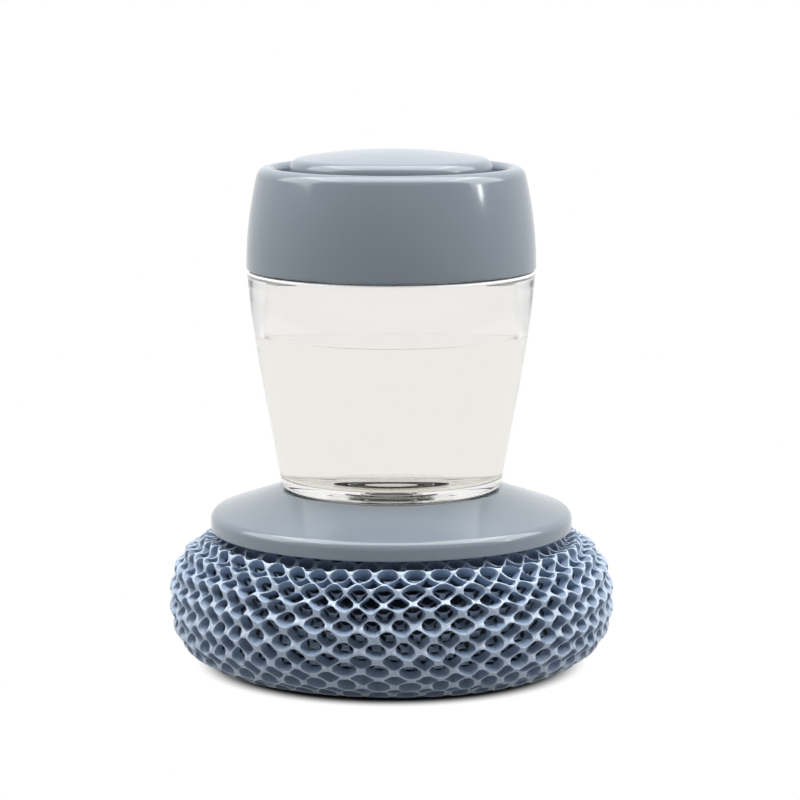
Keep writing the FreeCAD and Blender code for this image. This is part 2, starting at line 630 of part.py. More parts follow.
def helix(turn, radius, z0, pitch):
    """Point and unit direction of a rising helix after `turn` turns."""
    angle = 2 * math.pi * turn
    point = Vector(radius * math.cos(angle), radius * math.sin(angle), z0 + pitch * turn)
    rise = pitch / (2 * math.pi)
    along = Vector(-radius * math.sin(angle), radius * math.cos(angle), rise)
    return point, along.normalize()


def arc_between(start, apex, end):
    """Arc that leaves start towards apex and reaches end from apex."""
    half = (end - start).Length / 2
    middle = (start + end) * 0.5
    through = middle + (apex - middle) * (half / ((apex - start).Length + half))
    return Part.Arc(start, through, end).toShape()


def biarc(a, along_a, b, along_b):
    """Two arcs that meet smoothly, from point a to point b with the given directions."""
    span = b - a
    both = along_a + along_b
    bend = 2 * (1 - along_a.dot(along_b))
    lean = span.dot(both)
    reach = (math.sqrt(lean * lean + bend * span.dot(span)) - lean) / bend
    apex_a = a + along_a * reach
    apex_b = b - along_b * reach
    meet = (apex_a + apex_b) * 0.5
    return [arc_between(a, apex_a, meet), arc_between(meet, apex_b, b)]


def return_spring():
    """One unbroken coil of round wire, from the deck to the button."""
    z0 = DECK_TOP_Z + SPRING_SEAT + WIRE_R
    pitch = (BUTTON_ROOF_Z - SPRING_SEAT - WIRE_R - z0) / SPRING_TURNS
    stations = [helix(i / 4, SPRING_R, z0, pitch) for i in range(4 * SPRING_TURNS + 1)]
    edges = []
    for (a, along_a), (b, along_b) in zip(stations, stations[1:]):
        edges += biarc(a, along_a, b, along_b)
    start, along = stations[0]
    section = Part.Wire(Part.makeCircle(WIRE_R, start, along))
    print("return spring, least gap between turns:", round(spring_gap(z0, pitch), 3), "mm")
    return Part.Wire(edges).makePipeShell([section], True)


def spring_gap(z0, pitch):
    """Least clear distance between the spring's turns, measured on points of its line."""
    steps = 48
    points = [helix(i / steps, SPRING_R, z0, pitch)[0] for i in range(SPRING_TURNS * steps + 1)]
    return min(points[0].distanceToPoint(p) for p in points[steps // 2:]) - 2 * WIRE_R


PIECES = {
    "mesh_scrubber": mesh_scrubber,
    "scrubber_hub": scrubber_hub,
    "scrubber_tie": scrubber_tie,
    "base_plate": base_plate,
    "base_screws": base_screws,
    "base_cover": base_cover,
    "bayonet_ring": bayonet_ring,
    "tank": tank,
    "spout": spout,
    "spout_seal": spout_seal,
    "outlet_valve": outlet_valve,
    "valve_retainer": valve_retainer,
    "cap_shell": cap_shell,
    "cap_gasket": cap_gasket,
    "pump_body": pump_body,
    "air_valve": air_valve,
    "gland_ring": gland_ring,
    "lock_ring": lock_ring,
    "push_button": push_button,
    "plunger": plunger,
    "piston_seal": piston_seal,
    "return_spring": return_spring,
}

os.makedirs("parts", exist_ok=True)
for node, make in PIECES.items():
    make().exportStep("parts/" + node + ".step")
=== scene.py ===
import math

import bmesh
import bpy
import numpy as np
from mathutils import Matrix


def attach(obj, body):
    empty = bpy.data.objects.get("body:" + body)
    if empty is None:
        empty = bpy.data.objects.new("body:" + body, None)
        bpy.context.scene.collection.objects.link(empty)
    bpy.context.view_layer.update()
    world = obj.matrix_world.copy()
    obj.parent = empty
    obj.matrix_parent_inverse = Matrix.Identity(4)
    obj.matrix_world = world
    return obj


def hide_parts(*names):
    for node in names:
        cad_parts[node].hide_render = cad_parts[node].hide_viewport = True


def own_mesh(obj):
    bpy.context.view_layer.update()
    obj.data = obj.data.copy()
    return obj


# Palm-held scrubber with a soap tank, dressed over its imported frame. Shapes are worked out in
# millimetres and put into the meshes in metres.

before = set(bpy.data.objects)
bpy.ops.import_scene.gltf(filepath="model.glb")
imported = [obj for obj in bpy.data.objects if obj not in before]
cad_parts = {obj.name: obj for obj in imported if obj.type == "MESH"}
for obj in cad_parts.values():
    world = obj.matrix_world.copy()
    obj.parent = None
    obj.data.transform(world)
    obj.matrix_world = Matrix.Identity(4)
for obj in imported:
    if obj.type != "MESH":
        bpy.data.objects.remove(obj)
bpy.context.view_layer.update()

MM = 0.001
TURN = 2 * math.pi
ARC_POINTS = 7  # points on each rounded corner
NEAR_SHARE = 0.25  # distance of the points close to an arc, as a share of its radius

# Heights and radii of the turned pieces, as the frame has them
COVER_FOOT_Z = 29.3
COVER_R = 38.75
COVER_SIDE_H = 4.2
COVER_BORE_R = 36.75
COVER_BORE_Z = 31.3  # top of the hollow's upright side
COVER_ROOF_Z = 36.0
SEAT_R = 24.0
SEAT_Z = 38.0
SOCKET_R = 9.2
SOCKET_BORE_R = 7.9
SOCKET_TOP_Z = 38.9
SOCKET_SHELF_Z = 36.5
SOCKET_RECESS_R = 9.9  # below the shelf
SOCKET_FOOT_Z = 31.1
SOCKET_WALL_R = 11.2
FOOT_Z = 38.2
FOOT_R = 23.4
RECESS_R = 21.2  # shallow recess under the tank
RECESS_Z = 38.8
POCKET_R = 9.4  # pocket over the socket
POCKET_Z = 39.2
SPOUT_HOLE_R = 6.65
SHOULDER_Z = 84.9
SHOULDER_R = 30.7
TANK_WALL = 1.8  # along the straight flank; it thickens up to the shoulder
FLOOR_Z = 40.8
FLOOR_CORNER_R = 1.0
BEND_SHARES = (0.574, 0.497)  # end of the tank's straight flank: share of the spread, of the height
NECK_R = 27.7
NECK_BORE_R = 26.4
NECK_TOP_Z = 92.7
CAP_FOOT_R = 30.8
CAP_Z = 85.2
CAP_TOP_Z = 106.9
RIM_R = 26.2
RIM_ROLL_R = 2.4
WELL_R = 24.8
CAP_LEDGE_BORE_R = 19.3
CAP_LEDGE_Z = 95.6
CAP_LEDGE_TOP_Z = 97.2
SKIRT_BORE_R = 28.8
BUTTON_R = 21.5
BUTTON_Z = 104.2
BUTTON_ROOF_Z = 107.2
BUTTON_BORE_R = 19.9
STEM_SOCKET_R = 4.25
STEM_SOCKET_Z = 103.2
STEM_BORE_R = 2.65
STEM_BORE_TOP_Z = 107.4
CROWN_Z = 110.4
LEVEL_Z = 71.4  # top of the liquid soap
CLIMB = 0.3  # how far the soap climbs the wall
WET_FOOT_Z = 45.5  # up to here the wet wall shows the floor and the socket
WET_TOP_Z = LEVEL_Z - 5  # from here up the wet wall bends light alike
CLOSURE_LEAD = 10.0  # rise of the cap's ramps in a full turn
SPRING_R = 10.2  # middle of the wire
WIRE_R = 0.45
SPRING_FOOT_Z = 90.8
SPRING_TURNS = 6
SPRING_PLAY = 0.05  # between the coil's ends and what they press on


def linear(code):
    """sRGB hex value to linear RGBA: the standard two-part curve, channel by channel."""
    srgb = np.array([int(code[i:i + 2], 16) for i in (1, 3, 5)]) / 255
    line = np.where(srgb <= 0.04045, srgb / 12.92, ((srgb + 0.055) / 1.055) ** 2.4)
    return (*line.tolist(), 1.0)


def put_mesh(name, points, quads, triangles=None):
    """Smooth mesh object from points in mm, an array of quads and an array of triangles."""
    triangles = np.zeros((0, 3), int) if triangles is None else triangles
    corners = np.concatenate([quads.ravel(), triangles.ravel()]).astype(np.int32)
    starts = np.concatenate([
        4 * np.arange(len(quads)), 4 * len(quads) + 3 * np.arange(len(triangles))]).astype(np.int32)
    mesh = bpy.data.meshes.new(name)
    mesh.vertices.add(len(points))
    mesh.vertices.foreach_set("co", (points * MM).astype(np.float32).ravel())
    mesh.loops.add(len(corners))
    mesh.loops.foreach_set("vertex_index", corners)
    mesh.polygons.add(len(starts))
    mesh.polygons.foreach_set("loop_start", starts)
    mesh.polygons.foreach_set("use_smooth", np.ones(len(starts), bool))
    mesh.update(calc_edges=True)
    mesh.validate()
    obj = bpy.data.objects.new(name, mesh)
    bpy.context.scene.collection.objects.link(obj)
    return obj


def grid_quads(rows, columns, wrap_rows, wrap_columns):
    """Corner numbers of the quads of a grid of rows x columns points, numbered row by row. A
    wrapped direction also joins its last line to its first."""
    row = np.arange(rows if wrap_rows else rows - 1)[:, None]
    column = np.arange(columns if wrap_columns else columns - 1)[None, :]
    below = (row + 1) % rows
    beside = (column + 1) % columns
    return np.stack([
        row * columns + column, row * columns + beside,
        below * columns + beside, below * columns + column], axis=-1).reshape(-1, 4)


def rounded(corners, closed=True):
    """Outline (r, z) through corners (r, z, radius). At each corner an arc of that radius touches
    both sides: its ends lie radius / tan(half the corner's angle) from the corner. Two more points
    close to each arc keep the shading of the straight sides flat."""
    p = np.array(corners, float)
    out = []
    for i, radius in enumerate(p[:, 2]):
        here = p[i, :2]
        if radius == 0 or (not closed and i in (0, len(p) - 1)):
            out.append(here[None, :])
            continue
        a = p[i - 1, :2] - here
        b = p[(i + 1) % len(p), :2] - here
        a /= np.hypot(*a)
        b /= np.hypot(*b)
        half = math.acos(np.clip(a @ b, -1, 1)) / 2
        reach = radius / math.tan(half)
        middle = here + (a + b) / np.hypot(*(a + b)) * radius / math.sin(half)
        sweep = math.pi - 2 * half
        t = np.linspace(0, 1, ARC_POINTS)[:, None]
        from_a = here + a * reach - middle
        from_b = here + b * reach - middle
        swing = np.sin((1 - t) * sweep) * from_a + np.sin(t * sweep) * from_b
        arc_points = middle + swing / math.sin(sweep)
        near_a = arc_points[0] + a * NEAR_SHARE * radius
        near_b = arc_points[-1] + b * NEAR_SHARE * radius
        out.append(np.vstack([near_a, arc_points, near_b]))
    return np.vstack(out)


def arc(middle, radius, start, end, count):
    """Points (r, z) on a circle, from one angle to another in degrees, ends included."""
    angle = np.radians(np.linspace(start, end, count))
    return np.stack([middle[0] + radius * np.cos(angle), middle[1] + radius * np.sin(angle)], axis=1)


def tangent_arc(before, start, end, count):
    """Arc from start to end that carries on smoothly from the line before-start. Its radius is the
    chord squared over twice the chord's share across that line."""
    heading = math.atan2(start[1] - before[1], start[0] - before[0])
    across = np.array([-math.sin(heading), math.cos(heading)])
    chord = np.subtract(end, start)
    radius = chord @ chord / (2 * chord @ across)
    middle = start + across * radius
    a = math.atan2(start[1] - middle[1], start[0] - middle[0])
    b = math.atan2(end[1] - middle[1], end[0] - middle[0])
    turn = (b - a + math.pi) % TURN - math.pi
    return arc(middle, abs(radius), math.degrees(a), math.degrees(a + turn), count)


def plain(points):
    """Corners of no radius from points (r, z)."""
    return [(r, z, 0.0) for r, z in points]


def lathe(name, outline, steps=240, closed=True):
    """Outline (r, z), run with the solid on its left, carried round Z. An open outline starts and
    ends on the axis, and each end becomes one pole."""
    angle = np.arange(steps) * TURN / steps
    inner = outline if closed else outline[1:-1]
    r, z = inner[:, :1], inner[:, 1:]
    points = np.stack([
        r * np.cos(angle), r * np.sin(angle), np.broadcast_to(z, (len(inner), steps))], axis=-1)
    quads = grid_quads(len(inner), steps, closed, True)
    points = points.reshape(-1, 3)
    if closed:
        return put_mesh(name, points, quads)
    first = np.arange(steps)
    last = first + (len(inner) - 1) * steps
    poles = len(points) + np.arange(2)
    points = np.vstack([points, [0, 0, outline[0, 1]], [0, 0, outline[-1, 1]]])
    caps = np.concatenate([
        np.stack([np.full(steps, poles[0]), np.roll(first, -1), first], axis=1),
        np.stack([np.full(steps, poles[1]), last, np.roll(last, -1)], axis=1)])
    return put_mesh(name, points, quads, caps)


def middles(obj):
    """Radius and height, in mm, of the middle of each of a mesh's faces."""
    centre = np.empty(3 * len(obj.data.polygons))
    obj.data.polygons.foreach_get("center", centre)
    x, y, z = centre.reshape(-1, 3).T / MM
    return np.hypot(x, y), z


def lugs(name, r_in, r_out, z, thick, degrees, count, middle, lead):
    """Equal blocks spaced round Z: a rectangle from r_in to r_out, `thick` high, carried through
    `degrees` about the angle `middle` and rising by lead / 360 for each degree."""
    t = np.linspace(-0.5, 0.5, 9)
    places = (np.arange(count) * TURN / count)[:, None, None]
    angle = np.radians(middle + degrees * t)[None, :, None] + places
    r = np.array([r_in, r_out, r_out, r_in])[None, None, :]
    up = np.array([0, 0, thick, thick])[None, None, :] + (z + lead * degrees / 360 * t)[None, :, None]
    shape = (count, len(t), 4)
    points = np.stack([
        r * np.cos(angle), r * np.sin(angle), np.broadcast_to(up, shape)], axis=-1).reshape(-1, 3)
    base = (np.arange(count) * len(t) * 4)[:, None, None]
    sides = base + grid_quads(len(t), 4, False, True)[None, :, ::-1]
    last = 4 * len(t) - 4 + np.arange(4)
    ends = base + np.array([[0, 3, 2, 1], last])[None]
    obj = put_mesh(name, points, np.concatenate([sides, ends[..., ::-1]], axis=1).reshape(-1, 4))
    obj.data.polygons.foreach_set("use_smooth", np.zeros(len(obj.data.polygons), bool))
    return obj


def dress(obj, body, slot, material, *nodes):
    """Gives a piece its material and body, and hides the frame nodes that it stands for; slot is not used.
    """
    obj.data.materials.append(material)
    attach(obj, body)
    if nodes:
        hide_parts(*nodes)
    return obj


def add(tree, kind, inputs=None, **settings):
    """Adds a node: settings are its properties, inputs its sockets' values or incoming links."""
    made = tree.nodes.new(kind)
    for key, value in settings.items():
        setattr(made, key, value)
    for key, value in (inputs or {}).items():
        if isinstance(value, bpy.types.NodeSocket):
            tree.links.new(value, made.inputs[key])
        else:
            made.inputs[key].default_value = value
    return made


def new_material(name):
    """Empty material with its output node."""
    material = bpy.data.materials.new(name)
    material.use_nodes = True
    tree = material.node_tree
    tree.nodes.clear()
    return material, tree, add(tree, "ShaderNodeOutputMaterial")


def moulded(name, pale, deep, patch, roughness, ripple, height, constants):
    """Moulded plastic, rubber or metal: the colour drifts between two shades in patches `patch` mm
    wide, and a ripple `ripple` mm wide and `height` mm high breaks the reflections a little. The
    roughness swings by a tenth with the patches."""
    material, tree, output = new_material(name)
    place = add(tree, "ShaderNodeTexCoord").outputs["Object"]
    drift = add(tree, "ShaderNodeTexNoise", {"Vector": place, "Scale": 1 / (patch * MM), "Detail": 3.0})
    colour = add(tree, "ShaderNodeMix", {
        "Factor": drift.outputs["Fac"], 6: linear(deep), 7: linear(pale)}, data_type="RGBA")
    rough = add(tree, "ShaderNodeMapRange", {
        "Value": drift.outputs["Fac"], "To Min": 0.9 * roughness, "To Max": 1.1 * roughness})
    wave = add(tree, "ShaderNodeTexNoise", {"Vector": place, "Scale": 1 / (ripple * MM), "Detail": 2.0})
    bump = add(tree, "ShaderNodeBump", {
        "Height": wave.outputs["Fac"], "Strength": 1.0, "Distance": height * MM})
    shader = add(tree, "ShaderNodeBsdfPrincipled", {
        "Base Color": colour.outputs[2], "Roughness": rough.outputs[0], "Normal": bump.outputs[0],
        **constants})
    tree.links.new(shader.outputs[0], output.inputs["Surface"])
    return material


# Injection-moulded ABS from a polished tool: an even grey-blue with sharp, slightly wavy gloss
grey_abs = moulded("grey_abs_polished", "#77818A", "#707A83", 14.0, 0.14, 9.0, 0.012, {"IOR": 1.53})
# Moulded polypropylene inside the pump: off-white, waxy, with a soft sheen
white_pp = moulded("white_polypropylene", "#E6E6E2", "#DBDBD6", 6.0, 0.38, 1.2, 0.01, {"IOR": 1.49})
# Moulded polypropylene of the base's underside: darker grey, tool-textured and half matt
grey_pp = moulded("grey_polypropylene", "#838E99", "#75808B", 8.0, 0.42, 0.8, 0.02, {"IOR": 1.49})
# Moulded silicone: milky grey, soft and dull
silicone = moulded("milky_silicone", "#CFD3D4", "#C2C7C9", 4.0, 0.5, 0.7, 0.01, {"IOR": 1.41})
# Clear silicone of the outlet valve, under soap: it vanishes there too
clear_silicone = moulded("clear_silicone_under_soap", "#FBFBFA", "#F6F6F4", 4.0, 0.08, 0.7, 0.004, {
    "IOR": 1.0, "Transmission Weight": 1.0})
# Nylon tie: natural white, satin
nylon = moulded("natural_nylon", "#DEDDD5", "#D2D1C8", 3.0, 0.4, 0.6, 0.01, {"IOR": 1.53})
# Drawn stainless wire and pan-head screws: bright, with the fine marks of drawing
stainless = moulded("drawn_stainless", "#D0D2D5", "#B9BCC0", 1.5, 0.24, 0.25, 0.004, {"Metallic": 1.0})


def clear_plastic(name, ior, ior_above=None):
    """Moulded clear SAN: glass-like, a trace of flow waviness in the wall and a faint warm tint. With
    ior_above, the IOR rises or falls to that value, evenly with height, from WET_FOOT_Z to WET_TOP_Z."""
    flow_width, flow_height = 11.0, 0.012
    material, tree, output = new_material(name)
    place = add(tree, "ShaderNodeTexCoord").outputs["Object"]
    flow = add(tree, "ShaderNodeTexNoise", {
        "Vector": place, "Scale": 1 / (flow_width * MM), "Detail": 1.0})
    bump = add(tree, "ShaderNodeBump", {
        "Height": flow.outputs["Fac"], "Strength": 1.0, "Distance": flow_height * MM})
    shader = add(tree, "ShaderNodeBsdfPrincipled", {
        "Base Color": linear("#F7F6F5"), "Roughness": 0.02, "IOR": ior, "Transmission Weight": 1.0,
        "Normal": bump.outputs[0]})
    if ior_above:
        height = add(tree, "ShaderNodeSeparateXYZ", {0: place}).outputs["Z"]
        bend = add(tree, "ShaderNodeMapRange", {
            "Value": height, "From Min": WET_FOOT_Z * MM, "From Max": WET_TOP_Z * MM,
            "To Min": ior, "To Max": ior_above})
        tree.links.new(bend.outputs[0], shader.inputs["IOR"])
    tree.links.new(shader.outputs[0], output.inputs["Surface"])
    return material


def liquid_soap():
    """Surface of diluted dish soap: clear, with a trace of cream and faint threads of thicker soap."""
    thread_width = 18.0
    material, tree, output = new_material("diluted_dish_soap")
    place = add(tree, "ShaderNodeTexCoord").outputs["Object"]
    threads = add(tree, "ShaderNodeTexNoise", {
        "Vector": place, "Scale": 1 / (thread_width * MM), "Detail": 2.0, "Distortion": 0.8})
    colour = add(tree, "ShaderNodeMix", {
        "Factor": threads.outputs["Fac"], 6: linear("#F5F5F0"), 7: linear("#FAFAF7")}, data_type="RGBA")
    shader = add(tree, "ShaderNodeBsdfPrincipled", {
        "Base Color": colour.outputs[2], "Roughness": 0.03, "IOR": 1.04, "Transmission Weight": 1.0})
    tree.links.new(shader.outputs[0], output.inputs["Surface"])
    return material


def soap_depth():
    """Soap against the tank's wall: passes light straight on with a trace of cream."""
    material, tree, output = new_material("diluted_dish_soap_depth")
    tint = add(tree, "ShaderNodeBsdfTransparent", {"Color": linear("#FDFDFB")})
    tree.links.new(tint.outputs[0], output.inputs["Surface"])
    return material


def netting_plastic(name, lit_rim, wall):
    """Extruded polyethylene netting: blue-grey and waxy. The point attribute read below is 1 on the outer
    edge of a ribbon and falls to 0 down its wall. Its cube, made uneven in patches, is the share of the
    paler colour. This is painted light: a painted highlight on the edges, where thin netting passes light,
    and painted shade down the walls."""
    patch, grain, grain_height = 3.0, 0.6, 0.04
    material, tree, output = new_material(name)
    place = add(tree, "ShaderNodeTexCoord").outputs["Object"]
    edge = add(tree, "ShaderNodeAttribute", attribute_name="lit_rim", attribute_type="GEOMETRY")
    drift = add(tree, "ShaderNodeTexNoise", {"Vector": place, "Scale": 1 / (patch * MM), "Detail": 3.0})
    uneven = add(tree, "ShaderNodeMapRange", {
        "Value": drift.outputs["Fac"], "To Min": 0.75, "To Max": 1.15})
    fine = add(tree, "ShaderNodeMath", {0: edge.outputs["Fac"], 1: 3.0}, operation="POWER")
    share = add(tree, "ShaderNodeMath", {0: fine.outputs[0], 1: uneven.outputs[0]}, operation="MULTIPLY")
    colour = add(tree, "ShaderNodeMix", {
        "Factor": share.outputs[0], 6: linear(wall), 7: linear(lit_rim)}, data_type="RGBA")
    drawn = add(tree, "ShaderNodeTexNoise", {"Vector": place, "Scale": 1 / (grain * MM), "Detail": 2.0})
    bump = add(tree, "ShaderNodeBump", {
        "Height": drawn.outputs["Fac"], "Strength": 1.0, "Distance": grain_height * MM})
    shader = add(tree, "ShaderNodeBsdfPrincipled", {
        "Base Color": colour.outputs[2], "Roughness": 0.34, "IOR": 1.51, "Normal": bump.outputs[0]})
    tree.links.new(shader.outputs[0], output.inputs["Surface"])
    return material


clear_san = clear_plastic("clear_san_moulded", 1.5)
# The same plastic under soap, which bends light only by about the ratio of the two. Towards the
# soap's top it bends light more, a choice for the look: with one low value the wall mirrors the
# inside at the ends of the top, which the real one doesn't show
wet_san = clear_plastic("clear_san_under_soap", 1.12, 1.32)
# A thin ring of it with soap all round: the two match so well that it can't be made out
sunk_san = clear_plastic("clear_san_sunk_in_soap", 1.0)
# Edge at the tank's shoulder, painted white: a painted highlight for the fine white line that piped light
# makes
painted_highlight_san = moulded("clear_san_painted_highlight_edge", "#FDFDFD", "#F6F6F6", 5.0, 0.5, 1.0, 0.005, {"IOR": 1.5})
soap = liquid_soap()
soap_inside = soap_depth()
# Paler edges as a painted highlight, darker walls as painted shade
netting_outer = netting_plastic("polyethylene_netting", "#BAC6D5", "#8B9DB4")
# The same netting one fold further in, its colours darkened: painted shade, as it lies in the shade of the
# first
netting_deep_painted_shade = netting_plastic("polyethylene_netting_inside_painted_shade", "#9AABC1", "#56677D")
# Dark colours for the netting deep inside: painted shade, where hardly any light comes back
netting_painted_shade = netting_plastic("polyethylene_netting_painted_shade", "#414E5E", "#2A333F")


# Cap, button and base cover

def cap_shell():
    """Barrel cap: one upright arc from the lower edge runs smoothly into the roll of the rim, then
    the button's well, the ledge and the bore of the skirt. The arc's radius is
    (height^2 + draw-in^2 - roll^2) / (2 x (draw-in - roll))."""
    edge = 0.4
    foot = (CAP_FOOT_R, CAP_Z + edge)
    roll = (RIM_R, CAP_TOP_Z - RIM_ROLL_R)
    height, draw_in = roll[1] - foot[1], foot[0] - RIM_R
    radius = (height ** 2 + draw_in ** 2 - RIM_ROLL_R ** 2) / (2 * (draw_in - RIM_ROLL_R))
    middle = (foot[0] - radius, foot[1])
    lean = math.degrees(math.atan2(height, roll[0] - middle[0]))
    lip_r = RIM_R - WELL_R
    side = np.vstack([
        arc((foot[0] - edge, foot[1]), edge, -90, 0, 7), arc(middle, radius, 0, lean, 28)[1:],
        arc(roll, RIM_ROLL_R, lean, 90, 14)[1:], arc((RIM_R, CAP_TOP_Z - lip_r), lip_r, 90, 180, 12)[1:]])
    corners = plain(side) + [
        (WELL_R, CAP_LEDGE_TOP_Z, 0.3), (CAP_LEDGE_BORE_R, CAP_LEDGE_TOP_Z, 0.3),
        (CAP_LEDGE_BORE_R, CAP_LEDGE_Z, 0.3), (SKIRT_BORE_R, CAP_LEDGE_Z, 0.3),
        (SKIRT_BORE_R, CAP_Z, 0.3)]
    return lathe("cap_shell_dressed", rounded(corners))


def push_button():
    """Domed button: a shallow spherical crown, a rounded edge, a short skirt and the stem's socket
    below."""
    dome_r, edge_r = 112.0, 2.2
    dome = (0.0, CROWN_Z - dome_r)
    tilt = math.degrees(math.acos((BUTTON_R - edge_r) / (dome_r - edge_r)))
    edge = arc(dome, dome_r - edge_r, tilt, tilt, 1)[0]
    outside = np.vstack([arc(edge, edge_r, 0, tilt, 12), arc(dome, dome_r, tilt, 90, 20)[1:]])
    outside[-1, 0] = 0
    corners = [
        (0.0, STEM_BORE_TOP_Z, 0.0), (STEM_BORE_R, STEM_BORE_TOP_Z, 0.2),
        (STEM_BORE_R, STEM_SOCKET_Z, 0.2), (STEM_SOCKET_R, STEM_SOCKET_Z, 0.3),
        (STEM_SOCKET_R, BUTTON_ROOF_Z, 0.4), (BUTTON_BORE_R, BUTTON_ROOF_Z, 0.6),
        (BUTTON_BORE_R, BUTTON_Z, 0.3), (BUTTON_R, BUTTON_Z, 0.3)]
    return lathe("push_button_dressed", rounded(corners + plain(outside), False), closed=False)


def base_cover():
    """Conical disc: upright side, rounded edge, cone up to the tank's seat, and the socket that
    shows through the tank's foot; below it the hollow that the plate closes."""
    edge_r = 2.0
    edge = (COVER_R - edge_r, COVER_FOOT_Z + COVER_SIDE_H - edge_r)
    run, rise = edge[0] - SEAT_R, SEAT_Z - edge[1]
    lean = math.degrees(math.atan2(rise, run) - math.asin(edge_r / math.hypot(run, rise)))
    corners = [(COVER_R, COVER_FOOT_Z, 0.35)] + plain(arc(edge, edge_r, 0, 90 - lean, 16)) + [
        (SEAT_R, SEAT_Z, 0.5), (SOCKET_R, SEAT_Z, 0.4), (SOCKET_R, SOCKET_TOP_Z, 0.3),
        (SOCKET_BORE_R, SOCKET_TOP_Z, 0.3), (SOCKET_BORE_R, SOCKET_SHELF_Z, 0.2),
        (SOCKET_RECESS_R, SOCKET_SHELF_Z, 0.2), (SOCKET_RECESS_R, SOCKET_FOOT_Z, 0.2),
        (SOCKET_WALL_R, SOCKET_FOOT_Z, 0.3), (SOCKET_WALL_R, COVER_ROOF_Z, 0.5),
        (SEAT_R, COVER_ROOF_Z, 0.8), (COVER_BORE_R, COVER_BORE_Z, 0.4),
        (COVER_BORE_R, COVER_FOOT_Z, 0.3)]
    return lathe("base_cover_dressed", rounded(corners))


def return_spring():
    """Coil of round wire: a circle carried along a helix. The circle lies across the helix's
    direction, and a fan of triangles closes each end."""
    steps, sides = 30 * SPRING_TURNS + 1, 12
    foot = SPRING_FOOT_Z + SPRING_PLAY + WIRE_R
    top = BUTTON_ROOF_Z - SPRING_PLAY - WIRE_R
    angle = np.linspace(0, TURN * SPRING_TURNS, steps)[:, None]
    climb = (top - foot) / (TURN * SPRING_TURNS)
    slope = math.atan2(climb, SPRING_R)
    round_wire = (np.arange(sides) * TURN / sides)[None, :]
    out, up = WIRE_R * np.cos(round_wire), WIRE_R * np.sin(round_wire)
    r = SPRING_R + out
    back = math.sin(slope) * up
    points = np.stack([
        r * np.cos(angle) + back * np.sin(angle), r * np.sin(angle) - back * np.cos(angle),
        foot + climb * angle + math.cos(slope) * up], axis=-1).reshape(-1, 3)
    ends = np.array([[SPRING_R, 0, foot], [SPRING_R, 0, top]])
    ring = np.arange(sides)
    last = ring + (steps - 1) * sides
    fans = np.concatenate([
        np.stack([np.full(sides, len(points)), ring, np.roll(ring, -1)], axis=1),
        np.stack([np.full(sides, len(points) + 1), np.roll(last, -1), last], axis=1)])
    return put_mesh(
        "return_spring_dressed", np.vstack([points, ends]),
        grid_quads(steps, sides, False, True)[:, ::-1], fans[:, ::-1])


# Tank and soap

def flank(inset, top):
    """Side of the tank: a straight line from its foot, moved in by `inset`, to the bend, then an arc
    that carries on smoothly to `top`."""
    foot = np.array([FOOT_R - inset, FOOT_Z])
    bend = foot + np.array([SHOULDER_R - FOOT_R, SHOULDER_Z - FOOT_Z]) * BEND_SHARES
    return foot, tangent_arc(foot, bend, top, 24)


def inner_flank():
    """Inner wall from the floor's rounded corner up to the neck, with a point where the soap ends."""
    foot, swell = flank(TANK_WALL, (NECK_BORE_R, SHOULDER_Z))
    slope = (swell[0, 0] - foot[0]) / (swell[0, 1] - foot[1])
    corner_z = FLOOR_Z + FLOOR_CORNER_R
    corner = (foot[0] + slope * (corner_z - FOOT_Z) - FLOOR_CORNER_R, corner_z)
    wall = np.vstack([arc(corner, FLOOR_CORNER_R, -90, 0, 10), swell])
    height = np.sort(np.append(wall[:, 1], LEVEL_Z + CLIMB))
    return np.stack([np.interp(height, wall[:, 1], wall[:, 0]), height], axis=1)


def tank():
    """Clear tank: rounded foot, tapered wall, shoulder and neck outside; inner wall and floor with
    the spout's hole; a shallow recess and the socket's pocket below. Its materials are by face: the
    shoulder's edge is painted white as a highlight, and the inner wall and floor up to the soap's top are
    wet."""
    foot, swell = flank(0, (SHOULDER_R, SHOULDER_Z))
    corners = [
        (SPOUT_HOLE_R, POCKET_Z, 0.2), (POCKET_R, POCKET_Z, 0.15), (POCKET_R, RECESS_Z, 0.15),
        (RECESS_R, RECESS_Z, 0.25), (RECESS_R, FOOT_Z, 0.15), (foot[0], FOOT_Z, 1.2)]
    corners += plain(swell[:-1]) + [
        (*swell[-1], 0.5), (NECK_R, SHOULDER_Z, 0.4), (NECK_R, NECK_TOP_Z, 0.4),
        (NECK_BORE_R, NECK_TOP_Z, 0.4)]
    wall = inner_flank()
    corners += plain(wall[::-1]) + [(SPOUT_HOLE_R, FLOOR_Z, 0.2)]
    obj = lathe("tank_dressed", rounded(corners))
    r, z = middles(obj)
    # Faces of the shoulder's edge, which take the white painted highlight
    edge = (r > NECK_R + 1) & (z > SHOULDER_Z - 0.45)
    inside = r < np.interp(z, wall[:, 1], wall[:, 0]) + 0.2
    wet = (z > FLOOR_Z - 0.05) & (z < LEVEL_Z + CLIMB) & inside
    obj.data.polygons.foreach_set("material_index", (edge + 2 * wet).astype(np.int32))
    return obj


def soap_body():
    """Soap in the tank: 0.03 mm inside the inner wall, with a level top that climbs the wall. Only
    the top bends light; the wall's own wet faces do so for the sides."""
    gap, reach = 0.03, 1.6
    floor_rings, top_ring = (6.0, 14.0), 12.0  # rings of points across the floor and the top
    wall = inner_flank()
    wall = wall[wall[:, 1] <= LEVEL_Z + CLIMB]
    t = np.linspace(0, 1, 12)[1:]
    top = np.stack([wall[-1, 0] - gap - reach * t, LEVEL_Z + CLIMB * (1 - t) ** 2.5], axis=1)
    outline = np.vstack([
        [0, FLOOR_Z + gap], [floor_rings[0], FLOOR_Z + gap], [floor_rings[1], FLOOR_Z + gap],
        wall[0] + [0, gap], wall[1:] - [gap, 0], top, [top_ring, LEVEL_Z], [0, LEVEL_Z]])
    obj = lathe("soap_dressed", outline, closed=False)
    z = middles(obj)[1]
    obj.data.polygons.foreach_set("material_index", (z < LEVEL_Z - 0.01).astype(np.int32))
    return obj


# Netting

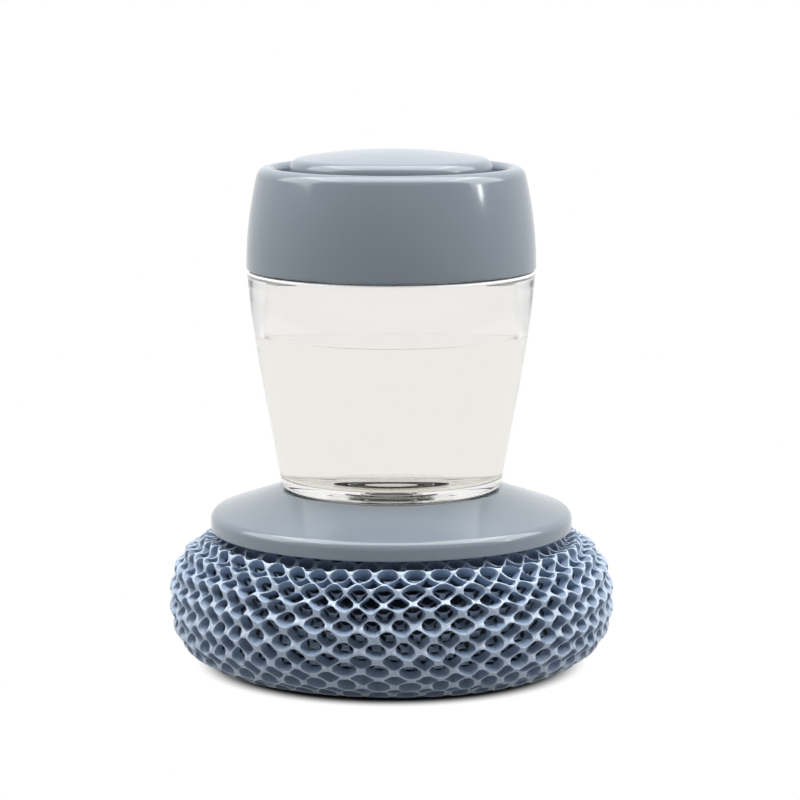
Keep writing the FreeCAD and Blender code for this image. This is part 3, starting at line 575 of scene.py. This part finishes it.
CELLS = 48  # cells round the ring
TOP_FACE = 6.0  # width of the flat top face
SIDE_LENGTH = 51.5  # length of the swelled side along the meridian
FOLDS = 11  # pleats down the side; a pleat takes two rows of cells
ROW = SIDE_LENGTH / (2 * FOLDS)  # distance between rows of cells along the meridian
FIRST_ROW = TOP_FACE - 1.5 * ROW  # puts a ridge at the start of the side
PLEAT = 1.7  # depth of the pleats
FADE_SHARE = 0.85  # share of the pleats' depth that is lost from top to bottom
FADE_POWER = 1.2  # above 1, most of it is lost low down
EDGE_POINTS = 4  # points along each of a cell's four sides
SQUARENESS = 2.4  # exponent of the swelled side: 2 is an ellipse
SECTION_R = 31.0  # where the flat faces end and the swelled side begins
SECTION_REACH = 17.0  # from there out to the widest place
WAIST_Z = 13.9  # height of the widest place
WAIST_TO_TOP = 15.4
TOP_FACE_R = 25.0  # inner end of the top face
MOUTH_R = 23.0  # edge of the mouth below
MOUTH_ROUND_R = 4.0
GATHER_R = 12.9  # where the netting is gathered on the hub
GATHER_Z = 13.2
SHELTER_END = 15.5  # length along the meridian at which the disc no longer presses on it
SHELTER_RUN = 5  # length over which its press fades out
MOUTH_FOLDS = 14  # upright folds round the mouth
MOUTH_FOLD_DEPTH = 1.2
MOUTH_FOLD_START = 62  # length along the meridian at which they begin
MOUTH_FOLD_RUN = 20  # length over which they grow
HOLE_LIMIT = 0.945  # largest share of its diamond that a hole takes up
OFF_MIDDLE = 0.045  # largest shift of a hole, in shares of half a cell or of a row


def netting_meridian():
    """Outline of the netting, from the top face round the swelled side and the resting face into
    the mouth below. The side is a superellipse: cos and sin raised to 2 / SQUARENESS. Returns
    length along it, r, z and the outward direction."""
    theta = np.radians(np.linspace(90, -90, 721))
    power = 2 / SQUARENESS
    high = np.sign(theta) * np.abs(np.sin(theta)) ** power
    side = np.stack([
        SECTION_R + SECTION_REACH * np.abs(np.cos(theta)) ** power,
        WAIST_Z + np.where(theta > 0, WAIST_TO_TOP, WAIST_Z) * high], axis=1)
    mouth = rounded([
        (SECTION_R, 0, 0), (MOUTH_R, 0, MOUTH_ROUND_R), (GATHER_R, GATHER_Z, 0)], False)[1:]
    line = np.vstack([[TOP_FACE_R, COVER_FOOT_Z], side, mouth])
    length = np.concatenate([[0], np.cumsum(np.hypot(*np.diff(line, axis=0).T))])
    even = np.linspace(0, length[-1], 1600)
    r, z = np.interp(even, length, line[:, 0]), np.interp(even, length, line[:, 1])
    dr, dz = np.gradient(r), np.gradient(z)
    size = np.hypot(dr, dz)
    return even, r, z, -dz / size, dr / size


def cell_outline(rows):
    """Outline of a cell in shares of half its width and height: the diamond that it takes up in the
    net, and the hole in it. The hole is a superellipse, |u / a|^n + |v / b|^n = 1, kept off the
    diamond's sides so that strands stay. It is rounder towards the ridge of its pleat and more
    pointed towards the valley. Odd rows look up: nearly triangles at the top, and rounder and
    smaller further down the side. Each hole's a and b differ a little."""
    t = np.arange(4 * EDGE_POINTS) / EDGE_POINTS
    corner = np.array([[1, 0], [0, 1], [-1, 0], [0, -1], [1, 0]])
    side = t.astype(int)
    share = (t - side)[:, None]
    u, v = (corner[side] * (1 - share) + corner[side + 1] * share).T
    uneven = np.random.default_rng(5).normal(0, 0.04, (2, len(rows), CELLS, 1))
    looks_up = (rows % 2 == 1)[:, None, None]
    ridge = looks_up == (v > 0)
    opened = np.clip((rows - 7) / 4, 0, 1)[:, None, None]
    up_power = np.where(ridge, 3.0 - 0.5 * opened, 1.1 + 1.2 * opened)
    up_b = np.where(ridge, 0.66 + 0.04 * opened, 0.92 - 0.22 * opened)
    power = np.where(looks_up, up_power, np.where(ridge, 2.4, 1.9))
    a = np.where(looks_up, 0.84, 0.86) - 0.14 * opened + uneven[0]
    b = np.where(looks_up, up_b, np.where(ridge, 0.74, 0.86)) + uneven[1]
    reach = ((np.abs(u) / a) ** power + (np.abs(v) / b) ** power) ** (-1 / power)
    reach = np.minimum(reach, HOLE_LIMIT)
    return u, v, reach


def netting(name, first, last, inset, depth, phase, material):
    """Netting as rows of cells, each a half cell out of step with the next. A cell is five rings of
    points: its diamond, the lip of its hole, which stands 0.1 mm proud of the diamond, and three
    down a wall that goes `depth` mm in and narrows unevenly. The wall leans up at the top of the
    ring and down at the bottom, and each hole sits a little off the middle of its diamond. Pleats
    run round the ring, sunk by PLEAT x (1 - cos) / 2 between ridges two rows apart, and fade
    towards the bottom. Slow sines in angle and length make rows wander and cells uneven, and near
    the mouth below, the net falls into upright folds. Neighbouring cells share their diamonds'
    sides, which are welded."""
    even, r_of, z_of, nr_of, nz_of = netting_meridian()
    rows = np.arange(first, last)
    u, v, reach = cell_outline(rows)
    shape = np.broadcast_shapes(reach.shape, u.shape)
    crumple = np.random.default_rng(8).normal(0, 0.06, (2, *shape))
    rings = np.stack([
        np.ones(shape), reach, 0.98 * reach, (0.94 + crumple[0]) * reach,
        (0.86 + crumple[1]) * reach], axis=2)
    into = np.array([0.1, 0.0, 0.2, 1.3, depth])[:, None]
    shift = np.random.default_rng(3).normal(0, 0.03, (2, len(rows), CELLS, 1, 1))
    shift = np.clip(shift, -OFF_MIDDLE, OFF_MIDDLE)
    moved = shift * (np.arange(len(into)) > 0)[:, None]
    # Share of the paler colour on each ring: a painted highlight on the lips, painted shade down the wall
    lit_rim = np.array([0.68, 1.0, 0.5, 0.0, 0.0])[:, None]
    column = np.arange(CELLS)[:, None, None]
    row = rows[:, None, None, None]
    phi = (column + 0.5 * (row % 2) + 0.5 * (u * rings + moved[0])) * TURN / CELLS + phase
    tilt = np.interp(row, (6, 13, 20), (-0.5, -0.25, 0.35))
    s = FIRST_ROW + ROW * (row + v * rings + moved[1]) + tilt * into
    pleat = 0.5 - 0.5 * np.cos(math.pi * (s - FIRST_ROW) / ROW + math.pi / 2 + 0.3 * np.sin(2 * phi))
    drift = (
        0.55 * np.sin(2 * phi + 0.11 * s + 0.7) + 0.36 * np.sin(5 * phi - 0.16 * s + 2.1)
        + 0.2 * np.sin(11 * phi + 0.3 * s))
    lean = 0.16 * np.sin(3 * phi + 0.13 * s) + 0.1 * np.sin(7 * phi - 0.21 * s + 1.3)
    under_disc = np.clip((SHELTER_END - s) / SHELTER_RUN, 0, 1)
    fade = 1 - FADE_SHARE * np.clip((s - TOP_FACE) / SIDE_LENGTH, 0, 1) ** FADE_POWER
    grown = np.clip((s - MOUTH_FOLD_START) / MOUTH_FOLD_RUN, 0, 1)
    fold = grown * (0.5 + 0.5 * np.cos(MOUTH_FOLDS * phi + np.sin(3 * phi)))
    sink = (
        inset + PLEAT * fade * pleat * (0.85 + 0.15 * np.sin(3 * phi + 0.1 * s))
        + 0.2 * fade * (1 + np.sin(4 * phi + 0.2 * s)) + 0.2 * under_disc + MOUTH_FOLD_DEPTH * fold)
    along = s + drift
    r, z = np.interp(along, even, r_of), np.interp(along, even, z_of)
    inward = sink + into + 0.02
    angle = phi + lean * TURN / CELLS
    r, z = r - np.interp(along, even, nr_of) * inward, z - np.interp(along, even, nz_of) * inward
    points = np.stack([r * np.cos(angle), r * np.sin(angle), z], axis=-1)
    cells, edge = len(rows) * CELLS, u.size
    one = grid_quads(len(into), edge, False, True)[:, ::-1]
    quads = (one[None] + (np.arange(cells) * len(into) * edge)[:, None, None]).reshape(-1, 4)
    obj = put_mesh(name, points.reshape(-1, 3), quads)
    values = np.broadcast_to(lit_rim, points.shape[:4]).astype(np.float32).ravel()
    obj.data.attributes.new("lit_rim", "FLOAT", "POINT").data.foreach_set("value", values)
    welded = bmesh.new()
    welded.from_mesh(obj.data)
    bmesh.ops.remove_doubles(welded, verts=welded.verts, dist=0.001 * MM)
    welded.to_mesh(obj.data)
    welded.free()
    return dress(obj, "head", "netting", material, "mesh_scrubber")


def netting_core():
    """Stand-in for the folded netting deep inside: a plain ring of superellipse section, dark with painted
    shade.
    """
    middle_r, middle_z, half_width, half_height = 30.5, 14.4, 9.5, 7.6
    theta = np.radians(np.arange(0, 360, 6))
    power = 2 / SQUARENESS
    section = np.stack([
        middle_r + half_width * np.sign(np.cos(theta)) * np.abs(np.cos(theta)) ** power,
        middle_z + half_height * np.sign(np.sin(theta)) * np.abs(np.sin(theta)) ** power], axis=1)
    return lathe("netting_core", section, steps=120)


dress(cap_shell(), "cap", "grey_abs", grey_abs, "cap_shell")
cap_lugs = lugs(
    "cap_lugs", r_in=28.0, r_out=29.0, z=87.0, thick=1.4, degrees=16.0, count=4, middle=0.0,
    lead=CLOSURE_LEAD)
dress(cap_lugs, "cap", "grey_abs", grey_abs, "cap_shell")
dress(push_button(), "button", "grey_abs", grey_abs, "push_button")
spring = dress(return_spring(), "pump", "stainless", stainless, "return_spring")
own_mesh(spring)
dress(base_cover(), "head", "grey_abs", grey_abs, "base_cover")
tank_piece = dress(tank(), "tank", "clear_plastic", clear_san, "tank")
# Painted white highlight for the shoulder's edge, then the wet wall
for finish in (painted_highlight_san, wet_san):
    tank_piece.data.materials.append(finish)
neck_ramps = lugs(
    "neck_ramps", r_in=27.6, r_out=28.5, z=89.211, thick=1.4, degrees=60.0, count=4, middle=22.0,
    lead=CLOSURE_LEAD)
dress(neck_ramps, "tank", "clear_plastic", clear_san, "tank")
dress(soap_body(), "tank", "clear_plastic", soap).data.materials.append(soap_inside)
# The outer layer is three pieces, so that none has too many triangles
for layer, first_row, end_row in (
        ("netting_upper", 1, 13), ("netting_middle", 13, 25), ("netting_lower", 25, 37)):
    netting(layer, first_row, end_row, inset=0.0, depth=2.2, phase=0.0, material=netting_outer)
netting(
    "netting_inside", 3, 24, inset=2.4, depth=2.0, phase=0.5 * TURN / CELLS, material=netting_deep_painted_shade)
# Dark ring of painted shade inside the netting
dress(netting_core(), "head", "netting", netting_painted_shade)

KEPT = {
    "plunger": white_pp, "gland_ring": white_pp, "pump_body": white_pp, "lock_ring": white_pp,
    "valve_retainer": sunk_san, "spout": clear_san, "bayonet_ring": white_pp, "base_plate": grey_pp,
    "scrubber_hub": grey_pp, "piston_seal": silicone, "air_valve": silicone, "cap_gasket": silicone,
    "outlet_valve": clear_silicone, "spout_seal": silicone, "base_screws": stainless,
    "scrubber_tie": nylon,
}
for node_name, finish in KEPT.items():
    node_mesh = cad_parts[node_name].data
    node_mesh.materials.clear()
    node_mesh.materials.append(finish)


# Floor, light and camera

def seen(tree):
    """1 for rays that reach the eye straight, by a mirror reflection or through the tank; 0 for
    rays that only carry light."""
    path = add(tree, "ShaderNodeLightPath")
    first = add(tree, "ShaderNodeMath", {
        0: path.outputs["Is Camera Ray"], 1: path.outputs["Is Glossy Ray"]}, operation="MAXIMUM")
    return add(tree, "ShaderNodeMath", {
        0: first.outputs[0], 1: path.outputs["Is Transmission Ray"]}, operation="MAXIMUM").outputs[0]


def floor():
    """Round sheet of paper under the object. For the eye it is full white from white_r out; closer
    in it takes the object's shadow. From below it is open, so that the underside can be seen."""
    shade_r, white_r, sides = 36.0, 42.5, 96
    ring_r = np.array([0.5, 60.0, 120.0, 240.0, 480.0, 1500.0, 4000.0])[:, None]
    angle = np.arange(sides) * TURN / sides
    flat = np.stack([ring_r * np.cos(angle), ring_r * np.sin(angle), 0 * ring_r * angle - 0.05], axis=-1)
    quads = grid_quads(len(ring_r), sides, False, True)[:, ::-1]
    sheet = put_mesh("floor", flat.reshape(-1, 3), quads)
    material, tree, output = new_material("white_paper")
    place = add(tree, "ShaderNodeTexCoord").outputs["Object"]
    away = add(tree, "ShaderNodeVectorMath", {0: place}, operation="LENGTH").outputs["Value"]
    share = add(tree, "ShaderNodeMapRange", {
        "Value": away, "From Min": shade_r * MM, "From Max": white_r * MM, "To Min": 0.0, "To Max": 1.0},
        interpolation_type="SMOOTHSTEP")
    mixed = add(tree, "ShaderNodeMath", {0: share.outputs[0], 1: seen(tree)}, operation="MULTIPLY")
    paper = add(tree, "ShaderNodeBsdfDiffuse", {"Color": linear("#9A9A9A")})
    glow = add(tree, "ShaderNodeEmission", {"Color": linear("#FFFFFF")})
    blend = add(tree, "ShaderNodeMixShader", {0: mixed.outputs[0], 1: paper.outputs[0], 2: glow.outputs[0]})
    below = add(tree, "ShaderNodeNewGeometry").outputs["Backfacing"]
    open_below = add(tree, "ShaderNodeMixShader", {
        0: below, 1: blend.outputs[0], 2: add(tree, "ShaderNodeBsdfTransparent").outputs[0]})
    tree.links.new(open_below.outputs[0], output.inputs["Surface"])
    sheet.data.materials.append(material)


def room():
    """White surroundings: for the eye full white, and for light a room that is brighter at its sides
    and ceiling than in front. The fill is 0.005 + 0.24 |x| + 0.24 z in the direction's shares."""
    world = bpy.data.worlds.new("white_room")
    bpy.context.scene.world = world
    world.use_nodes = True
    tree = world.node_tree
    tree.nodes.clear()
    way = add(tree, "ShaderNodeSeparateXYZ", {0: add(tree, "ShaderNodeTexCoord").outputs["Generated"]})
    sides = add(tree, "ShaderNodeMath", {0: way.outputs["X"]}, operation="ABSOLUTE")
    level = add(tree, "ShaderNodeMath", {0: sides.outputs[0], 1: 0.24, 2: 0.005}, operation="MULTIPLY_ADD")
    fill = add(tree, "ShaderNodeMath", {
        0: way.outputs["Z"], 1: 0.24, 2: level.outputs[0]}, operation="MULTIPLY_ADD", use_clamp=True)
    strength = add(tree, "ShaderNodeMapRange", {
        "Value": seen(tree), "To Min": fill.outputs[0], "To Max": 1.0})
    sky = add(tree, "ShaderNodeBackground", {"Color": linear("#FFFFFF"), "Strength": strength.outputs[0]})
    add(tree, "ShaderNodeOutputWorld", {"Surface": sky.outputs[0]})


def lamp(name, place, target, width, height, watts):
    """Rectangular soft lamp at `place`, facing `target`, both in metres. It isn't seen through the
    clear tank."""
    light = bpy.data.lights.new(name, "AREA")
    light.shape = "RECTANGLE"
    light.size, light.size_y, light.energy = width, height, watts
    obj = bpy.data.objects.new(name, light)
    obj.location = place
    aim = np.subtract(target, place)
    pitch = math.atan2(math.hypot(aim[0], aim[1]), -aim[2])
    obj.rotation_euler = (pitch, 0, math.atan2(-aim[0], aim[1]))
    obj.visible_transmission = False
    bpy.context.scene.collection.objects.link(obj)


def camera():
    """Camera of the photograph: 670 mm in front, 158 mm up, looking down 8.6 degrees."""
    data = bpy.data.cameras.new("camera")
    data.sensor_width = 36.0
    data.lens = 142.56
    data.clip_start = 0.01
    obj = bpy.data.objects.new("camera", data)
    obj.location = (0.00185, -0.6703, 0.1581)
    obj.rotation_euler = (math.radians(90 - 8.59), 0, 0)
    bpy.context.scene.collection.objects.link(obj)
    bpy.context.scene.camera = obj


floor()
room()
HEART = (0, 0, 0.05)
lamp("left_softbox", (-0.95, 0.05, 0.8), HEART, 0.9, 0.9, 9.2)
lamp("right_softbox", (0.95, 0.05, 0.8), HEART, 0.9, 0.9, 10.6)
lamp("overhead_softbox", (0, 0, 1.15), HEART, 1.7, 1.1, 27.0)
lamp("window_strip", (0.95, -0.16, 0.34), (0, 0, 0.1), 0.055, 0.08, 0.4)
camera()
bpy.context.scene.view_settings.view_transform = "Standard"
